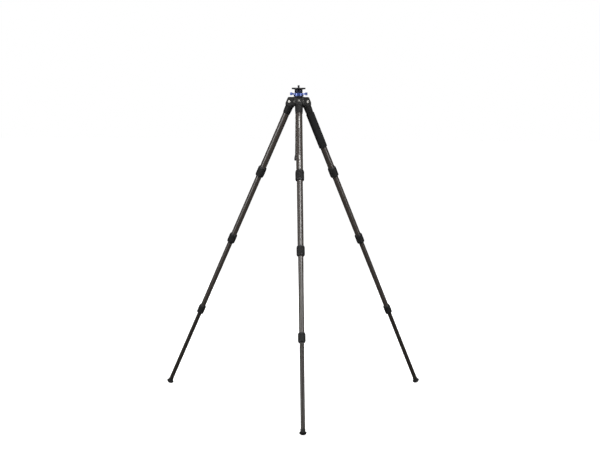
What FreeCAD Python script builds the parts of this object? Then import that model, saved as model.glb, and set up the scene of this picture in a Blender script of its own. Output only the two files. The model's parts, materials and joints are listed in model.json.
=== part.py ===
import FreeCAD, Part
import math
import os

# A four-section photographic tripod with a centre column, standing with its legs fully drawn out.
# Millimetres. +Z is up. The origin is the centre of the top plate's upper face, where a head sits.
# The front leg points towards -Y. Each leg is first built hanging straight down from its hinge at
# the origin, with its outer face towards +X and its hinge pin along Y, and is then tilted,
# carried out to its hinge and turned to its place round the column.

Vector = FreeCAD.Vector
Rotation = FreeCAD.Rotation
Placement = FreeCAD.Placement

# --- Clearances and fits -------------------------------------------------------------------------
slide_gap = 0.3            # between curved faces of pieces that slide or turn in each other
flat_gap = 0.4             # between flat faces of pieces that move past each other
pin_fit = 0.05             # radial running fit of the pivot bolts
seat_gap = 0.05            # radial gap of a piece pushed into its seat for good

# --- Stance --------------------------------------------------------------------------------------
leg_tilt = 25.74           # degrees from the vertical, at the first angle stop
hinge_drop = 62.0          # from the top plate's upper face down to the hinges
hinge_height = 1356.0      # from the ground up to the hinges
leg_azimuths = {"front": -90.0, "right": 30.0, "left": 150.0}
grip_leg = "right"

# --- Leg tubes, from the top section to the bottom one -------------------------------------------
top_tube_diameter = 30.0
tube_step = 3.6            # each section is this much thinner than the one above it
section_count = 4
tube_wall = 1.0
lock_stations = [356.0, 705.0, 1090.0]     # from the hinge to the middle of each twist lock
lock_walls = [4.5, 4.8, 5.0]                # from the tube above a lock out to the lock's grip
lock_lengths = [48.0, 45.0, 42.5]
lock_seat_share = 8.0      # how far below a lock's middle the tube above it ends
lock_closed_gap = 1.5      # left between two locks, or a lock and a foot, with the leg shortened
lock_grip_thickness = 1.8
lock_lip_length = 5.6
lock_lip_rise = 1.0
lock_lip_chamfer = 3.0
lock_lip_chamfer_length = 4.2
lock_grip_chamfer = 1.0
shim_length = 33.0
shim_drop = 1.0            # from the top of a tube down to its shims
shim_split = 2.0
top_tube_start = 25.0      # from the hinge down to the top of the first tube

# --- Feet ----------------------------------------------------------------------------------------
foot_flange = 6.4          # from the last tube out to the foot's rim
foot_dome_radius = 19.0
foot_rim_length = 4.0
foot_flare_length = 5.0
foot_collar_wall = 1.4
foot_chamfer = 0.8
foot_collar_length = 8.0
foot_socket_depth = 14.0

# --- Foam grip -----------------------------------------------------------------------------------
foam_thickness = 4.0
foam_start = 59.0
foam_length = 170.0
foam_edge = 3.0

# --- Leg castings --------------------------------------------------------------------------------
tongue_width = 25.4
tongue_radius = 17.5
tongue_step = 1.0          # from the sleeve's upper end in to the tongue's root
sleeve_start = 21.5
sleeve_length = 37.0
sleeve_wall = 3.0
sleeve_end_wall = 1.5
sleeve_chamfer = 1.6
sleeve_band_length = 9.0

# --- Angle tabs ----------------------------------------------------------------------------------
tab_width = 9.5
tab_shank_height = 4.4
tab_head_height = 8.6
tab_head_thickness = 3.2
tab_pin_room = 1.2         # wall left between the pivot bolt's hole and the tab's slot
tab_head_standoff = 0.33   # from the tongue's root out to the finger plate
tab_inner_margin = 0.8
tab_edge = 0.8

# --- Pivot bolts ---------------------------------------------------------------------------------
bolt_diameter = 6.0
bolt_cap_diameter = 12.4
bolt_cap_thickness = 3.0
bolt_cap_sink = 1.2
bolt_cap_chamfer = 0.8
bolt_socket_width = 5.0
bolt_socket_depth = 1.6
bolt_thread_engagement = 2.0

# --- Apex casting --------------------------------------------------------------------------------
lug_radius = 20.5
lug_face = 14.5            # from the bolt out to the face that is cut in line with the leg
lug_thickness = 8.0
lug_chamfer = 1.4
boss_wall = 7.95           # round the collet's seat
boss_bottom_drop = 80.0
pocket_relief = 0.7        # between a tongue and the pocket it turns in
pocket_wall = 1.75         # left between a pocket and the collet's seat
collar_shoulder = 3.4      # from the threaded neck out to the collar
collar_height = 3.6
thread_neck_wall = 2.55    # round the collet's seat

# --- Collet and column ---------------------------------------------------------------------------
column_diameter = 28.0
column_wall = 1.1
collet_wall = 1.7
collet_lip_height = 2.4
collet_slot_width = 1.6
collet_slot_count = 3
collet_slot_depth = 26.0

# --- Column lock ring ----------------------------------------------------------------------------
lock_ring_wall = 3.6
lock_ring_height = 14.0
lock_ring_chamfer = 1.2
wing_count = 3
wing_length = 22.0
wing_tip_radius = 5.4
wing_web_thickness = 6.4
wing_height = 13.0
wing_lift = 3.0            # of the wings' middle above the ring's
wing_web_inset = 2.8
wing_chamfer = 1.0

# --- Top plate and its collar --------------------------------------------------------------------
plate_diameter = 62.0
plate_rim_thickness = 7.0
plate_thickness = 8.5
plate_edge = 0.9
plate_dish_inset = 6.0     # from the rim in to the dish underneath
plate_groove_inset = 2.0   # from the rim, and from the neck, to the grooves
plate_groove_width = 1.6
plate_groove_depth = 0.5
neck_wall = 4.0
neck_chamfer = 1.0
neck_socket_depth = 8.0
grub_screw_diameter = 4.0
grub_screw_count = 3
grub_screw_sink = 0.4
grub_socket_width = 2.0
grub_socket_depth = 1.8

# --- Head screw, 3/8 inch ------------------------------------------------------------------------
stud_diameter = 9.52
stud_height = 11.0
stud_chamfer = 1.0
stud_relief = 0.76         # radial step of its root, below the plate's face
stud_thread_depth = 8.0    # below the plate, in the collar's plug
stud_slot_width = 1.6
stud_slot_depth = 2.2

# --- Column end cap and its hook -----------------------------------------------------------------
cap_bottom_drop = 327.0
cap_wall = 3.0
cap_body_length = 13.0
cap_flare_length = 11.0
cap_chamfer = 1.2
cap_rim_wall = 0.8
cap_spigot_length = 33.0
cap_floor_thickness = 3.0
spigot_wall = 1.9
hook_stem_diameter = 4.0
hook_wire_diameter = 3.6
hook_loop_radius = 6.2
hook_loop_sink = 2.6
hook_travel = 24.0
hook_head_diameter = 10.0
hook_head_height = 3.0


def turned(profile):
    """A solid of revolution about Z from (radius, height) corners given in order."""
    corners = [Vector(radius, 0, height) for radius, height in profile]
    outline = Part.makePolygon(corners + [corners[0]])
    return Part.Face(outline).revolve(Vector(0, 0, 0), Vector(0, 0, 1), 360)


def tube(outer_radius, inner_radius, bottom, top):
    """A plain tube about Z."""
    return turned([(inner_radius, bottom), (outer_radius, bottom), (outer_radius, top), (inner_radius, top)])


def disc(radius, bottom, top):
    """A plain cylinder about Z."""
    return Part.makeCylinder(radius, top - bottom, Vector(0, 0, bottom))


def cross_pin(radius, half_length, x, z):
    """A cylinder along Y, centred on the XZ plane."""
    return Part.makeCylinder(radius, 2 * half_length, Vector(x, -half_length, z), Vector(0, 1, 0))


def block(x_low, x_high, half_width, z_low, z_high):
    """A box that is symmetric about the XZ plane."""
    return Part.makeBox(x_high - x_low, 2 * half_width, z_high - z_low, Vector(x_low, -half_width, z_low))


def prism(width, bottom, top):
    """A hexagonal prism about Z, measured across its flats."""
    corner = width / math.sqrt(3)
    corners = [
        Vector(corner * math.cos(math.radians(60 * k)), corner * math.sin(math.radians(60 * k)), bottom)
        for k in range(7)
    ]
    return Part.Face(Part.makePolygon(corners)).extrude(Vector(0, 0, top - bottom))


def around(shape, count, start=0.0):
    """Copies of a shape spaced evenly round Z."""
    copies = []
    for k in range(count):
        copy = shape.copy()
        copy.rotate(Vector(0, 0, 0), Vector(0, 0, 1), start + 360.0 * k / count)
        copies.append(copy)
    return copies


def group(solids):
    """Separate solids kept together in one node."""
    return Part.makeCompound(solids)


# --- Sizes that follow from the ones above -------------------------------------------------------
tube_radii = [(top_tube_diameter - number * tube_step) / 2 for number in range(section_count)]
lock_radii = [radius + wall for radius, wall in zip(tube_radii, lock_walls)]
bore_radii = [radius - tube_wall for radius in tube_radii]
cos_tilt = math.cos(math.radians(leg_tilt))
sin_tilt = math.sin(math.radians(leg_tilt))
foot_centre = (hinge_height - foot_dome_radius) / cos_tilt
foot_radius = tube_radii[-1] + foot_flange
foot_rim_bottom = foot_centre + math.sqrt(foot_dome_radius**2 - foot_radius**2)
foot_rim_top = foot_rim_bottom - foot_rim_length
foot_flare_top = foot_rim_top - foot_flare_length
foot_top = foot_flare_top - foot_collar_length
foot_tip = foot_centre + foot_dome_radius
lock_tops = [station - length / 2 for station, length in zip(lock_stations, lock_lengths)]
lock_bottoms = [station + length / 2 for station, length in zip(lock_stations, lock_lengths)]
section_bottoms = [station + lock_seat_share for station in lock_stations] + [foot_top + foot_socket_depth]
section_tops = [top_tube_start] + [
    bottom - flat_gap - shim_length - shim_drop for bottom in section_bottoms[:-1]
]

lug_inner = tongue_width / 2 + flat_gap
lug_outer = lug_inner + lug_thickness
sleeve_end = sleeve_start + sleeve_length
sleeve_radius = tube_radii[0] + sleeve_wall
sleeve_end_radius = tube_radii[0] + sleeve_end_wall
tongue_half_depth = sleeve_radius - tongue_step
apex_top = lug_radius - hinge_drop
collar_top = apex_top + collar_height
ring_bottom = collar_top + flat_gap
ring_top = ring_bottom + lock_ring_height
neck_bottom = ring_top + flat_gap
column_radius = column_diameter / 2
collet_bore = column_radius + slide_gap
collet_radius = collet_bore + collet_wall
collet_seat = collet_radius + seat_gap
thread_neck_radius = collet_seat + thread_neck_wall
lock_ring_radius = thread_neck_radius + slide_gap + lock_ring_wall
collar_radius = thread_neck_radius + collar_shoulder
boss_radius = collet_seat + boss_wall
pocket_radius = tongue_radius + pocket_relief
hinge_radius = collet_seat + pocket_wall + pocket_radius
neck_radius = column_radius + neck_wall
cap_radius = column_radius + cap_wall
cap_body_top = cap_body_length - cap_bottom_drop
cap_top = cap_body_top + cap_flare_length
column_bottom = cap_body_top + cap_floor_thickness / 2
column_top = neck_bottom + neck_socket_depth
column_bore = column_radius - column_wall
hook_bore_radius = column_bore - spigot_wall
plate_radius = plate_diameter / 2
grub_screw_radius = (neck_radius + plate_radius) / 2
stud_radius = stud_diameter / 2
stud_root_radius = stud_radius - stud_relief
stud_bottom = -plate_thickness - stud_thread_depth
tab_low = -hinge_drop + bolt_diameter / 2 + tab_pin_room
tab_high = tab_low + tab_shank_height
bolt_radius = bolt_diameter / 2
cap_seat = lug_outer - bolt_cap_sink


def in_leg(shape):
    """Tilts a piece built hanging from its hinge, and carries it out to the hinge on the +X side."""
    placed = shape.copy()
    placed.rotate(Vector(0, 0, 0), Vector(0, 1, 0), -leg_tilt)
    placed.translate(Vector(hinge_radius, 0, -hinge_drop))
    return placed


def leg_tube(number):
    """One tube section of a leg, number 0 being the top one."""
    return tube(tube_radii[number], bore_radii[number], -section_bottoms[number], -section_tops[number])


def lock_ring(number):
    """The threaded body of a twist lock, bored for the tube above it and the thinner one below."""
    waist = lock_radii[number] - lock_grip_thickness
    lip = waist + lock_lip_rise
    upper = tube_radii[number] + slide_gap
    lower = tube_radii[number + 1] + slide_gap
    top = -lock_tops[number]
    bottom = -lock_bottoms[number]
    step = -section_bottoms[number] - flat_gap
    return turned([
        (upper, top), (lip - lock_lip_chamfer, top), (lip, top - lock_lip_chamfer_length),
        (lip, top - lock_lip_length), (waist, top - lock_lip_length),
        (waist, bottom + lock_lip_length), (lip, bottom + lock_lip_length),
        (lip, bottom + lock_lip_chamfer_length), (lip - lock_lip_chamfer, bottom),
        (lower, bottom), (lower, step), (upper, step),
    ])


def lock_grip(number):
    """The rubber sleeve round a twist lock, between the lips of its ring."""
    outer = lock_radii[number]
    inner = outer - lock_grip_thickness
    shoulder = outer - lock_lip_rise / 2
    top = -lock_tops[number] - lock_lip_length
    bottom = -lock_bottoms[number] + lock_lip_length
    return turned([
        (inner, top), (shoulder, top), (outer, top - lock_grip_chamfer),
        (outer, bottom + lock_grip_chamfer), (shoulder, bottom), (inner, bottom),
    ])


def shims(number):
    """The split shims round the top of an inner tube, which centre it in the tube above."""
    inner = tube_radii[number + 1]
    outer = bore_radii[number] - slide_gap
    top = -section_tops[number + 1] - shim_drop
    sleeve = tube(outer, inner, top - shim_length, top)
    split = block(-2 * outer, 2 * outer, shim_split / 2, top - 2 * shim_length, top + shim_length)
    return group(sleeve.cut(split).Solids)


def foot():
    """A rubber foot: a collar round the last tube that flares to a rim with a domed sole."""
    socket = tube_radii[-1]
    collar = socket + foot_collar_wall
    sole = foot_tip - foot_dome_radius
    sweep = math.asin(foot_radius / foot_dome_radius) / 2
    middle = Vector(
        foot_dome_radius * math.sin(sweep), 0, -sole - foot_dome_radius * math.cos(sweep))
    rim = Vector(foot_radius, 0, -foot_rim_bottom)
    tip = Vector(0, 0, -foot_tip)
    corners = [
        tip, Vector(0, 0, -foot_top - foot_socket_depth), Vector(socket, 0, -foot_top - foot_socket_depth),
        Vector(socket, 0, -foot_top), Vector(collar - foot_chamfer, 0, -foot_top),
        Vector(collar, 0, -foot_top - foot_chamfer), Vector(collar, 0, -foot_flare_top),
        Vector(foot_radius - foot_chamfer, 0, -foot_rim_top),
        Vector(foot_radius, 0, -foot_rim_top - foot_chamfer), rim,
    ]
    edges = [Part.LineSegment(a, b).toShape() for a, b in zip(corners, corners[1:])]
    edges.append(Part.Arc(rim, middle, tip).toShape())
    return Part.Face(Part.Wire(edges)).revolve(Vector(0, 0, 0), Vector(0, 0, 1), 360)


def foam_grip():
    """The foam sleeve round the top tube of one leg."""
    inner = tube_radii[0]
    outer = inner + foam_thickness
    top = -foam_start
    bottom = -foam_start - foam_length
    return turned([
        (inner, top), (outer - foam_edge, top), (outer, top - foam_edge),
        (outer, bottom + foam_edge), (outer - foam_edge, bottom), (inner, bottom),
    ])


def tab_slot_cut():
    """The slot for an angle tab, placed as the leg stands."""
    reach = 2 * tongue_radius
    return block(
        hinge_radius - reach, hinge_radius + reach, tab_width / 2 + flat_gap,
        tab_low - flat_gap, tab_high + flat_gap)


def leg_casting():
    """The tongue that turns between the lugs and the sleeve that holds the top tube, as the leg stands."""
    tongue = cross_pin(tongue_radius, tongue_width / 2, 0, 0)
    root = block(-tongue_half_depth, tongue_half_depth, tongue_width / 2, -sleeve_start - 1, 0)
    wide = sleeve_radius
    narrow = sleeve_end_radius
    band = -sleeve_end + sleeve_band_length
    sleeve = turned([
        (0, -sleeve_start), (wide - sleeve_chamfer, -sleeve_start), (wide, -sleeve_start - sleeve_chamfer),
        (narrow + (wide - narrow) / 2, band), (narrow, band - 1), (narrow, -sleeve_end + 1),
        (narrow - 1, -sleeve_end), (0, -sleeve_end),
    ])
    body = tongue.fuse([root, sleeve]).removeSplitter()
    body = body.cut(disc(tube_radii[0], -sleeve_end - 1, -top_tube_start))
    body = body.cut(cross_pin(bolt_radius + pin_fit, tongue_width, 0, 0))
    return in_leg(body).cut(tab_slot_cut())


def angle_tab():
    """The sprung tab above the hinge, with its finger plate outside the tongue, as the leg stands."""
    middle = (tab_high + tab_low) / 2
    rise = max(tab_high, middle) + hinge_drop
    inner = hinge_radius - math.sqrt(tongue_radius**2 - rise**2) + tab_inner_margin
    face = hinge_radius + tongue_half_depth / cos_tilt + tab_head_standoff
    shank = block(inner, face + 1, tab_width / 2, tab_low, tab_high)
    head = block(face, face + tab_head_thickness, tab_width / 2, tab_high - tab_head_height, tab_high)
    outer_edges = [
        edge for edge in head.Edges
        if all(abs(vertex.X - face - tab_head_thickness) < 1e-6 for vertex in edge.Vertexes)
    ]
    return head.makeChamfer(tab_edge, outer_edges).fuse(shank).removeSplitter()


def leg_arm():
    """One arm of the apex: a pair of lugs with a pocket for the tongue, along +X."""
    end = turned([
        (0, -lug_outer), (lug_radius - lug_chamfer, -lug_outer), (lug_radius, -lug_outer + lug_chamfer),
        (lug_radius, lug_outer - lug_chamfer), (lug_radius - lug_chamfer, lug_outer), (0, lug_outer),
    ])
    end.rotate(Vector(0, 0, 0), Vector(1, 0, 0), 90)
    end = in_leg(end.cut(block(lug_face, 2 * lug_radius, 2 * lug_outer, -2 * lug_radius, 2 * lug_radius)))
    web = block(0, hinge_radius, lug_outer, -boss_bottom_drop, apex_top)
    top_edges = [
        edge for edge in web.Edges
        if all(abs(abs(vertex.Y) - lug_outer) < 1e-6 for vertex in edge.Vertexes)
        and abs(edge.Vertexes[0].Z - edge.Vertexes[1].Z) < 1e-6
    ]
    return web.makeChamfer(lug_chamfer, top_edges).fuse(end)


def arm_pocket():
    """The space cut from an arm for the tongue, its tab and the bolt."""
    half = lug_inner
    past = hinge_radius + 2 * lug_radius
    sweep = cross_pin(pocket_radius, half, hinge_radius, -hinge_drop)
    above = block(hinge_radius - tongue_half_depth, past, half, -hinge_drop, apex_top)
    below = block(
        hinge_radius - tongue_half_depth - pocket_relief, past, half,
        -hinge_drop - 2 * lug_radius, -hinge_drop)
    bolt_hole = cross_pin(bolt_radius + pin_fit, 2 * lug_outer, hinge_radius, -hinge_drop)
    seats = cross_pin(bolt_cap_diameter / 2 + seat_gap, 2 * lug_outer, hinge_radius, -hinge_drop)
    seats = seats.cut(cross_pin(bolt_cap_diameter, cap_seat, hinge_radius, -hinge_drop))
    return sweep.fuse([above, below, bolt_hole, seats])


def apex_casting():
    """The spider: a bored boss with three pairs of lugs, a collar and the ring's threaded neck."""
    boss = disc(boss_radius, -boss_bottom_drop, apex_top)
    collar = turned([
        (0, apex_top - 1), (collar_radius, apex_top - 1), (collar_radius, collar_top - 1),
        (collar_radius - 1, collar_top), (0, collar_top),
    ])
    neck = disc(thread_neck_radius, collar_top - 1, ring_top - collet_lip_height - flat_gap)
    arms = [around(leg_arm(), 1, azimuth)[0] for azimuth in leg_azimuths.values()]
    pockets = [around(arm_pocket(), 1, azimuth)[0] for azimuth in leg_azimuths.values()]
    body = boss.fuse([collar, neck] + arms)
    body = body.cut(Part.makeCompound(pockets))
    body = body.cut(disc(collet_seat, -boss_bottom_drop - 1, ring_top + 1))
    return body.removeSplitter()


def pivot_bolt():
    """A bolt through a pair of lugs and its domed cap nut, at the hinge on the +X side."""
    head_radius = bolt_cap_diameter / 2
    face = cap_seat + bolt_cap_thickness
    head = turned([
        (0, cap_seat), (head_radius, cap_seat), (head_radius, face - bolt_cap_chamfer),
        (head_radius - bolt_cap_chamfer, face), (0, face),
    ])
    socket = prism(bolt_socket_width, face - bolt_socket_depth, face + 1)
    shank_end = -cap_seat - bolt_thread_engagement
    bolt = head.fuse(disc(bolt_radius, shank_end, cap_seat)).cut(socket)
    nut = head.cut(socket)
    nut.rotate(Vector(0, 0, 0), Vector(1, 0, 0), 180)
    nut = nut.cut(disc(bolt_radius, shank_end, 0))
    pieces = []
    for piece in (bolt, nut):
        piece.rotate(Vector(0, 0, 0), Vector(1, 0, 0), 90)
        piece.translate(Vector(hinge_radius, 0, -hinge_drop))
        pieces.append(piece)
    return pieces


def pivot_bolts():
    """The three bolts and their cap nuts."""
    solids = []
    for azimuth in leg_azimuths.values():
        for piece in pivot_bolt():
            solids += around(piece, 1, azimuth)
    return group(solids)


def column_collet():
    """The split bush that the column slides in; its lip lies over the threaded neck."""
    lip = thread_neck_radius - 1
    lip_bottom = ring_top - collet_lip_height
    bush = turned([
        (collet_bore, -boss_bottom_drop), (collet_radius, -boss_bottom_drop), (collet_radius, lip_bottom),
        (lip, lip_bottom), (lip, ring_top - 1), (lip - 1, ring_top), (collet_bore, ring_top),
    ])
    slot = block(0, 2 * lip, collet_slot_width / 2, ring_top - collet_slot_depth, ring_top + 1)
    return bush.cut(Part.makeCompound(around(slot, collet_slot_count, 30)))


def column_lock_ring():
    """The winged ring that is screwed down to close the collet on the column."""
    bore = thread_neck_radius + slide_gap
    edge = lock_ring_chamfer
    body = turned([
        (bore, ring_bottom), (lock_ring_radius - edge, ring_bottom), (lock_ring_radius, ring_bottom + edge),
        (lock_ring_radius, ring_top - edge), (lock_ring_radius - edge, ring_top), (bore, ring_top),
    ])
    middle = (ring_bottom + ring_top) / 2 + wing_lift
    low = middle - wing_height / 2
    high = middle + wing_height / 2
    reach = lock_ring_radius + wing_length - wing_tip_radius
    web = block(bore + 1, reach, wing_web_thickness / 2, low + wing_web_inset, high - wing_web_inset)
    tip = turned([
        (0, low), (wing_tip_radius - wing_chamfer, low), (wing_tip_radius, low + wing_chamfer),
        (wing_tip_radius, high - wing_chamfer), (wing_tip_radius - wing_chamfer, high), (0, high),
    ])
    tip.translate(Vector(reach, 0, 0))
    wings = around(web.fuse(tip), wing_count, 90)
    return body.fuse(wings).removeSplitter()


def column_tube():
    """The column's own tube, from the plate's collar down into the end cap."""
    return tube(column_radius, column_bore, column_bottom, column_top)


def column_collar():
    """The dark neck on the column's top, with a plug inside the tube that the head screw is turned into."""
    body = turned([
        (0, neck_bottom), (neck_radius - neck_chamfer, neck_bottom),
        (neck_radius, neck_bottom + neck_chamfer), (neck_radius, -plate_thickness), (0, -plate_thickness),
    ])
    body = body.cut(tube(column_radius, column_bore, neck_bottom - 1, column_top))
    return body.cut(disc(stud_root_radius, stud_bottom, 0))


def top_plate():
    """The round plate that a head sits on, dished beneath towards the neck."""
    rim = plate_radius
    body = turned([
        (0, 0), (rim - plate_edge, 0), (rim, -plate_edge), (rim, plate_edge - plate_rim_thickness),
        (rim - plate_edge, -plate_rim_thickness), (rim - plate_dish_inset, -plate_rim_thickness),
        (neck_radius, -plate_thickness), (0, -plate_thickness),
    ])
    body = body.cut(disc(stud_radius + seat_gap, -plate_thickness - 1, 1))
    for outer in (rim - plate_groove_inset, neck_radius + plate_groove_inset + plate_groove_width):
        body = body.cut(tube(outer, outer - plate_groove_width, -plate_groove_depth, 1))
    hole = disc(grub_screw_diameter / 2, -plate_thickness - 1, 1)
    hole.translate(Vector(grub_screw_radius, 0, 0))
    return body.cut(Part.makeCompound(around(hole, grub_screw_count, 90)))


def plate_screws():
    """The grub screws that are turned up against a head's base to stop it unscrewing."""
    low = -plate_rim_thickness
    screw = disc(grub_screw_diameter / 2, low, -grub_screw_sink)
    screw = screw.cut(prism(grub_socket_width, low - 1, low + grub_socket_depth))
    screw.translate(Vector(grub_screw_radius, 0, 0))
    return group(around(screw, grub_screw_count, 90))


def head_stud():
    """The screw that a head is fastened with, standing up through the plate."""
    radius = stud_radius
    body = turned([
        (0, stud_bottom), (stud_root_radius, stud_bottom), (stud_root_radius, 0), (radius, 0),
        (radius, stud_height - stud_chamfer), (radius - stud_chamfer, stud_height), (0, stud_height),
    ])
    slot_floor = stud_height - stud_slot_depth
    return body.cut(block(-stud_diameter, stud_diameter, stud_slot_width / 2, slot_floor, stud_height + 1))


def column_end_cap():
    """The cap on the column's lower end, with a spigot inside the tube that houses the hook."""
    sleeve = column_radius
    spigot = column_bore
    spigot_top = cap_top + cap_floor_thickness + cap_spigot_length - cap_body_length - cap_flare_length
    chamber_top = spigot_top - cap_floor_thickness
    body = turned([
        (hook_bore_radius, -cap_bottom_drop), (cap_radius - cap_chamfer, -cap_bottom_drop),
        (cap_radius, -cap_bottom_drop + cap_chamfer), (cap_radius, cap_body_top),
        (sleeve + cap_rim_wall, cap_top), (sleeve, cap_top), (sleeve, column_bottom),
        (spigot, column_bottom), (spigot, spigot_top), (0, spigot_top), (0, chamber_top),
        (hook_bore_radius, chamber_top),
    ])
    return body.cut(disc(hook_stem_diameter / 2 + slide_gap, chamber_top - 1, spigot_top + 1))


def weight_hook():
    """The sprung loop for a weight, drawn up into the end cap."""
    spigot_top = cap_top + cap_floor_thickness + cap_spigot_length - cap_body_length - cap_flare_length
    wire = hook_wire_diameter / 2
    loop_centre = hook_loop_sink + wire + hook_loop_radius - cap_bottom_drop
    loop_top = loop_centre + hook_loop_radius
    head_bottom = spigot_top + hook_travel + flat_gap
    loop = Part.makeTorus(hook_loop_radius, wire, Vector(0, 0, loop_centre), Vector(0, 1, 0))
    stem = disc(hook_stem_diameter / 2, loop_top, head_bottom)
    head = disc(hook_head_diameter / 2, head_bottom, head_bottom + hook_head_height)
    return loop.fuse([stem, head])


def leg_nodes(name, azimuth):
    """Every piece of one leg, placed round the column."""
    pieces = {
        "leg_casting": leg_casting(),
        "angle_tab": angle_tab(),
        "foot": in_leg(foot()),
    }
    for number in range(section_count):
        pieces[f"tube_{number + 1}"] = in_leg(leg_tube(number))
    for number in range(len(lock_stations)):
        pieces[f"lock_ring_{number + 1}"] = in_leg(lock_ring(number))
        pieces[f"lock_grip_{number + 1}"] = in_leg(lock_grip(number))
        pieces[f"shims_{number + 1}"] = in_leg(shims(number))
    nodes = {f"{name}_{piece}": around(shape, 1, azimuth)[0] for piece, shape in pieces.items()}
    if name == grip_leg:
        nodes["foam_grip"] = around(in_leg(foam_grip()), 1, azimuth)[0]
    return nodes


def all_nodes():
    """Every node of the tripod by name."""
    nodes = {
        "apex_casting": apex_casting(),
        "pivot_bolts": pivot_bolts(),
        "column_collet": column_collet(),
        "column_lock_ring": column_lock_ring(),
        "column_tube": column_tube(),
        "column_collar": column_collar(),
        "top_plate": top_plate(),
        "plate_screws": plate_screws(),
        "head_stud": head_stud(),
        "column_end_cap": column_end_cap(),
        "weight_hook": weight_hook(),
    }
    for name, azimuth in leg_azimuths.items():
        nodes.update(leg_nodes(name, azimuth))
    return nodes


os.makedirs("parts", exist_ok=True)
for node, shape in all_nodes().items():
    shape.exportStep(f"parts/{node}.step")
    print(f"{node}: valid {shape.isValid()}, solids {len(shape.Solids)}, volume {shape.Volume:.0f} mm3")

# How far each section goes in before its lock, or the foot, meets the lock above.
travels = [
    below - bottom - lock_closed_gap
    for bottom, below in zip(lock_bottoms, lock_tops[1:] + [foot_top])
]
closed_tops = [top - sum(travels[:k]) for k, top in enumerate(section_tops)]
print(f"section travels {[round(travel, 1) for travel in travels]} mm")
print(f"tops of the shortened sections {[round(top, 1) for top in closed_tops]} mm")
print(f"column travel {-boss_bottom_drop - cap_top:.1f} mm, leg from hinge to tip {foot_tip:.1f} mm")
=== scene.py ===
"""Looks of a folding camera tripod, built round its CAD frame.

Lengths are in metres and places come from the frame. A leg's pieces are modelled in leg space, where the
origin is the hinge, Z runs up the leg and X points out of its outer face, and are then carried to each leg.
"""
import json
import logging
import math
from dataclasses import dataclass, replace
from enum import Enum
from typing import Callable, Optional, Sequence, Union

import bmesh
import bpy
from mathutils import Matrix, Vector


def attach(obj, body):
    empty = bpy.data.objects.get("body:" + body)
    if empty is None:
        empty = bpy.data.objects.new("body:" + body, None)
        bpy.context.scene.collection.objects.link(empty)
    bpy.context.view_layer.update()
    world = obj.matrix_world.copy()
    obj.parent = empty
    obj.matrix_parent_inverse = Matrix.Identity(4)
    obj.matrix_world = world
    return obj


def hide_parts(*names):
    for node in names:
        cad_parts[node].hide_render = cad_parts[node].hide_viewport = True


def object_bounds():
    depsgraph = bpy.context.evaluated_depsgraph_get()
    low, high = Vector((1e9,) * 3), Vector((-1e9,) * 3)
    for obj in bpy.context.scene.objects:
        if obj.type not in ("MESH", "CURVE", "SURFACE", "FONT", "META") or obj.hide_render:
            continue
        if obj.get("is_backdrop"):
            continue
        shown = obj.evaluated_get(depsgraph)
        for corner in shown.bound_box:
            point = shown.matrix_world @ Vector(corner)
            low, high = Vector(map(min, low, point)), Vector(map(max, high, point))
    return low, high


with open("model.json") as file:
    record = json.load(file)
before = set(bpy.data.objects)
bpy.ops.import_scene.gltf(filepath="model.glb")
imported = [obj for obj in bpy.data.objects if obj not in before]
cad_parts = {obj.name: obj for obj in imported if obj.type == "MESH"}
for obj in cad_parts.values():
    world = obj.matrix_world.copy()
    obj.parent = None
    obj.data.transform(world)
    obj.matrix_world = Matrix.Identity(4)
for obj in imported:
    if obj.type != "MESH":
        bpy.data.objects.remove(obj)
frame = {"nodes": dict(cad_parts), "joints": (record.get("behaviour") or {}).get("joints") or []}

LOG = logging.getLogger("tripod")
MM = 0.001
ACROSS = 0.5  # how much a wrap's second coordinate grows per metre out from the axis
Object = bpy.types.Object
Material = bpy.types.Material
Node = bpy.types.Node
Socket = bpy.types.NodeSocket
Colour = tuple[float, float, float]
Outline = list[tuple[float, float]]
Tint = Union[Colour, Socket]


class LegName(Enum):
    """The three legs, by where they stand."""

    FRONT = "front"
    RIGHT = "right"
    LEFT = "left"


class Ends(Enum):
    """How a turned piece is closed."""

    SOLID = "solid"
    HOLLOW = "hollow"


# --- Shader maths --------------------------------------------------------------------------------


class Signal:
    """A value socket that takes part in Python expressions, each of which adds its Math nodes."""

    def __init__(self, sheet: "Sheet", socket: Socket) -> None:
        """Wraps a socket of a sheet's node tree."""
        self.sheet = sheet
        self.socket = socket

    def __add__(self, other: "Operand") -> "Signal":
        """This signal plus another."""
        return self.sheet.maths("ADD", self, other)

    __radd__ = __add__

    def __sub__(self, other: "Operand") -> "Signal":
        """This signal less another."""
        return self.sheet.maths("SUBTRACT", self, other)

    def __rsub__(self, other: "Operand") -> "Signal":
        """Another value less this signal."""
        return self.sheet.maths("SUBTRACT", other, self)

    def __mul__(self, other: "Operand") -> "Signal":
        """This signal times another."""
        return self.sheet.maths("MULTIPLY", self, other)

    __rmul__ = __mul__

    def __truediv__(self, other: "Operand") -> "Signal":
        """This signal over another."""
        return self.sheet.maths("DIVIDE", self, other)

    def __mod__(self, other: "Operand") -> "Signal":
        """What is left of this signal after whole multiples of another, never negative."""
        return self.sheet.maths("FLOORED_MODULO", self, other)

    def __lt__(self, other: "Operand") -> "Signal":
        """1 where this signal is below another, else 0."""
        return self.sheet.maths("LESS_THAN", self, other)

    def floor(self) -> "Signal":
        """The whole part."""
        return self.sheet.maths("FLOOR", self)

    def fraction(self) -> "Signal":
        """The part after the point."""
        return self.sheet.maths("FRACT", self)

    def arch(self) -> "Signal":
        """Half a sine wave as this signal goes from 0 to 1."""
        return self.sheet.maths("SINE", self * math.pi)

    def absolute(self) -> "Signal":
        """The size without its sign."""
        return self.sheet.maths("ABSOLUTE", self)

    def clamped(self) -> "Signal":
        """Held between 0 and 1."""
        return self.sheet.maths("MINIMUM", self.sheet.maths("MAXIMUM", self, 0.0), 1.0)


Operand = Union[Signal, float, int]


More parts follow.
